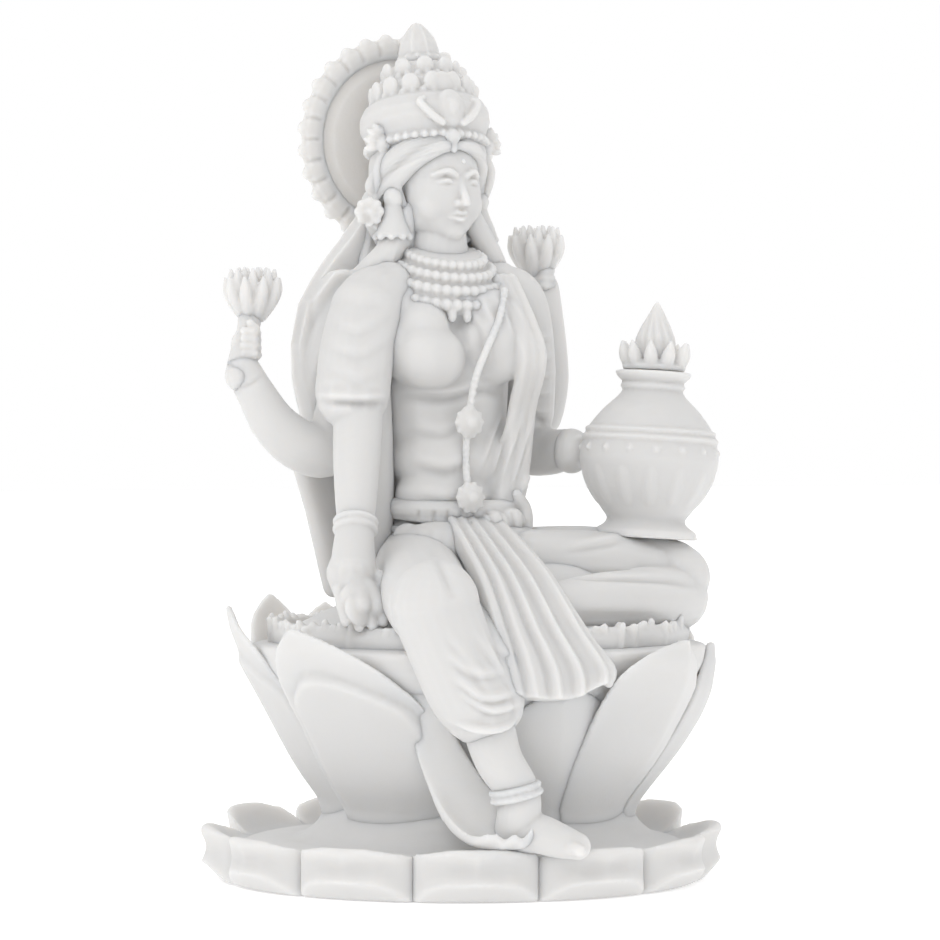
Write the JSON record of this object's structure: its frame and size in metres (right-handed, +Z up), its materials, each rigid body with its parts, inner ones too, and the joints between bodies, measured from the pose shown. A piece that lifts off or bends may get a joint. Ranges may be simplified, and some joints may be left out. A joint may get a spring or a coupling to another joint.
{
  "type": "hindu deity statue",
  "caption": "Seated four-armed goddess statuette on a lotus throne and petal plinth, with halo, tiered crown, held lotuses and a lift-off water pot on one knee.",
  "frame": {"origin": "centre of the plinth's flat underside, on the axis of the lotus throne", "axes": "+Z up towards the crown, -Y forwards, the way the figure faces, -X towards the figure's own right hand"},
  "size_m": [0.122, 0.1256, 0.203],
  "materials": {
    "body": "matt white cast stone",
    "petal": "matt white cast stone",
    "figure": "matt white cast stone, smoothed skin",
    "drapery": "matt white cast stone, carved folds",
    "ornament": "matt white cast stone, carved relief",
    "pot": "matt white cast stone, carved relief",
    "rod": "plain steel, hidden inside"
  },
  "bodies": {
    "statue": {"plinth": "body", "plinth_petal_1": "petal", "plinth_petal_2": "petal", "plinth_petal_3": "petal", "plinth_petal_4": "petal", "plinth_petal_5": "petal", "plinth_petal_6": "petal", "plinth_petal_7": "petal", "plinth_petal_8": "petal", "plinth_petal_9": "petal", "plinth_petal_10": "petal", "plinth_petal_11": "petal", "plinth_petal_12": "petal", "throne_cup": "body", "throne_petal_1": "petal", "throne_petal_2": "petal", "throne_petal_3": "petal", "throne_petal_4": "petal", "throne_petal_5": "petal", "throne_petal_6": "petal", "throne_petal_7": "petal", "throne_petal_8": "petal", "throne_petal_9": "petal", "throne_petal_10": "petal", "foot_petal": "petal", "inner_petals": "petal", "seed_pod": "body", "stamen_fringe": "petal", "core_rod": "rod", "torso": "figure", "skirt": "drapery", "belt": "ornament", "garland": "ornament", "necklace": "ornament", "head": "figure", "hair": "figure", "veil": "drapery", "crown": "ornament", "crown_finial": "ornament", "crown_fans": "ornament", "halo_disc": "ornament", "halo_rim": "ornament", "earrings": "ornament", "right_front_arm": "figure", "right_front_hand": "figure", "left_front_arm": "figure", "left_front_hand": "figure", "right_rear_arm": "figure", "right_rear_hand": "figure", "left_rear_arm": "figure", "left_rear_hand": "figure", "right_lotus": "ornament", "left_lotus": "ornament", "right_leg": "drapery", "right_foot": "figure", "anklet": "ornament", "left_leg": "drapery", "left_foot": "figure", "front_pleats": "drapery", "kalash_peg": "rod"},
    "kalash": {"kalash_pot": "pot", "kalash_leaves": "pot", "coconut": "pot"}
  },
  "joints": [
    {"name": "kalash_lift", "type": "slide", "parent": "statue", "child": "kalash", "axis": [0.061, 0, 0.9981], "range_m": [0, 0.03]}
  ]
}
